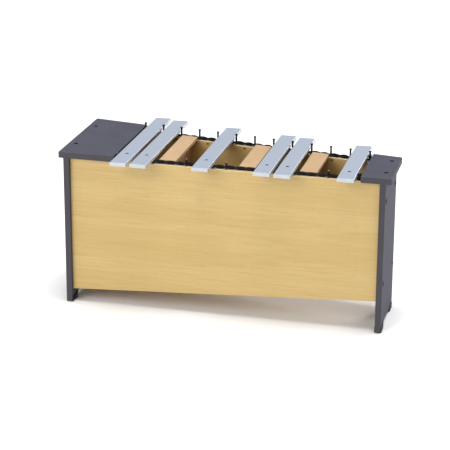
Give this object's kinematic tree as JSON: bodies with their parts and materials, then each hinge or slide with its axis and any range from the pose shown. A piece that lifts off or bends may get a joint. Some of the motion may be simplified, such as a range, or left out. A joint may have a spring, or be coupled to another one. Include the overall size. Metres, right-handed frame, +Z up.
{
  "type": "bass metallophone chromatic unit",
  "caption": "Tapering floor-standing resonator box on two end boards, with loose metal tone bars resting on pinned cords across its open top.",
  "frame": {"origin": "on the floor, under the middle of the whole instrument's bounding box", "axes": "+X along the row from low notes to high, +Y from the player's side to the back, +Z up"},
  "size_m": [1.024, 0.5152, 0.5031],
  "materials": {
    "grey_laminate": "satin laminate on board, dark slate grey",
    "veneered_ply": "fine-grained light veneer, clear matt lacquer",
    "inner_ply": "plain plywood, matt",
    "light_beech": "planed and sanded beech, matt lacquer",
    "bar_aluminium": "satin, pale blue-grey anodised",
    "black_cord": "braided and twisted cord",
    "black_rubber": "matt moulded rubber",
    "bright_steel": "bright, rounded",
    "black_screw": "black oxide",
    "yellow_screw": "yellow passivated zinc",
    "grey_plastic": "moulded, dark grey, semi-matt"
  },
  "bodies": {
    "case": {"back_panel": "veneered_ply", "block_dowels": "light_beech", "bottom_panel": "inner_ply", "cap_screws": "black_screw", "divider_1": "inner_ply", "divider_2": "inner_ply", "divider_3": "inner_ply", "filler_block_1": "light_beech", "filler_block_2": "light_beech", "filler_block_3": "light_beech", "front_panel": "veneered_ply", "front_pin_sleeves": "black_rubber", "front_pins": "bright_steel", "front_support_cord": "black_cord", "inner_screws": "yellow_screw", "left_end_board": "grey_laminate", "left_front_glide": "black_rubber", "left_inner_wall": "inner_ply", "left_rear_glide": "black_rubber", "left_top_cap": "grey_laminate", "panel_screws": "yellow_screw", "rear_pin_sleeves": "black_rubber", "rear_pins": "bright_steel", "rear_support_cord": "black_cord", "right_end_board": "grey_laminate", "right_front_glide": "black_rubber", "right_inner_wall": "inner_ply", "right_rear_glide": "black_rubber", "right_top_cap": "grey_laminate", "screw_covers": "grey_plastic"},
    "bar_c_sharp_low": {"bar_c_sharp_low": "bar_aluminium"},
    "bar_d_sharp_low": {"bar_d_sharp_low": "bar_aluminium"},
    "bar_g_sharp_low": {"bar_g_sharp_low": "bar_aluminium"},
    "bar_c_sharp_high": {"bar_c_sharp_high": "bar_aluminium"},
    "bar_d_sharp_high": {"bar_d_sharp_high": "bar_aluminium"},
    "bar_g_sharp_high": {"bar_g_sharp_high": "bar_aluminium"}
  },
  "joints": [
    {"name": "lift_c_sharp_low", "type": "slide", "parent": "case", "child": "bar_c_sharp_low", "axis": [0, 0, 1], "range_m": [0, 0.06]},
    {"name": "lift_d_sharp_low", "type": "slide", "parent": "case", "child": "bar_d_sharp_low", "axis": [0, 0, 1], "range_m": [0, 0.06]},
    {"name": "lift_g_sharp_low", "type": "slide", "parent": "case", "child": "bar_g_sharp_low", "axis": [0, 0, 1], "range_m": [0, 0.06]},
    {"name": "lift_c_sharp_high", "type": "slide", "parent": "case", "child": "bar_c_sharp_high", "axis": [0, 0, 1], "range_m": [0, 0.06]},
    {"name": "lift_d_sharp_high", "type": "slide", "parent": "case", "child": "bar_d_sharp_high", "axis": [0, 0, 1], "range_m": [0, 0.06]},
    {"name": "lift_g_sharp_high", "type": "slide", "parent": "case", "child": "bar_g_sharp_high", "axis": [0, 0, 1], "range_m": [0, 0.06]}
  ]
}
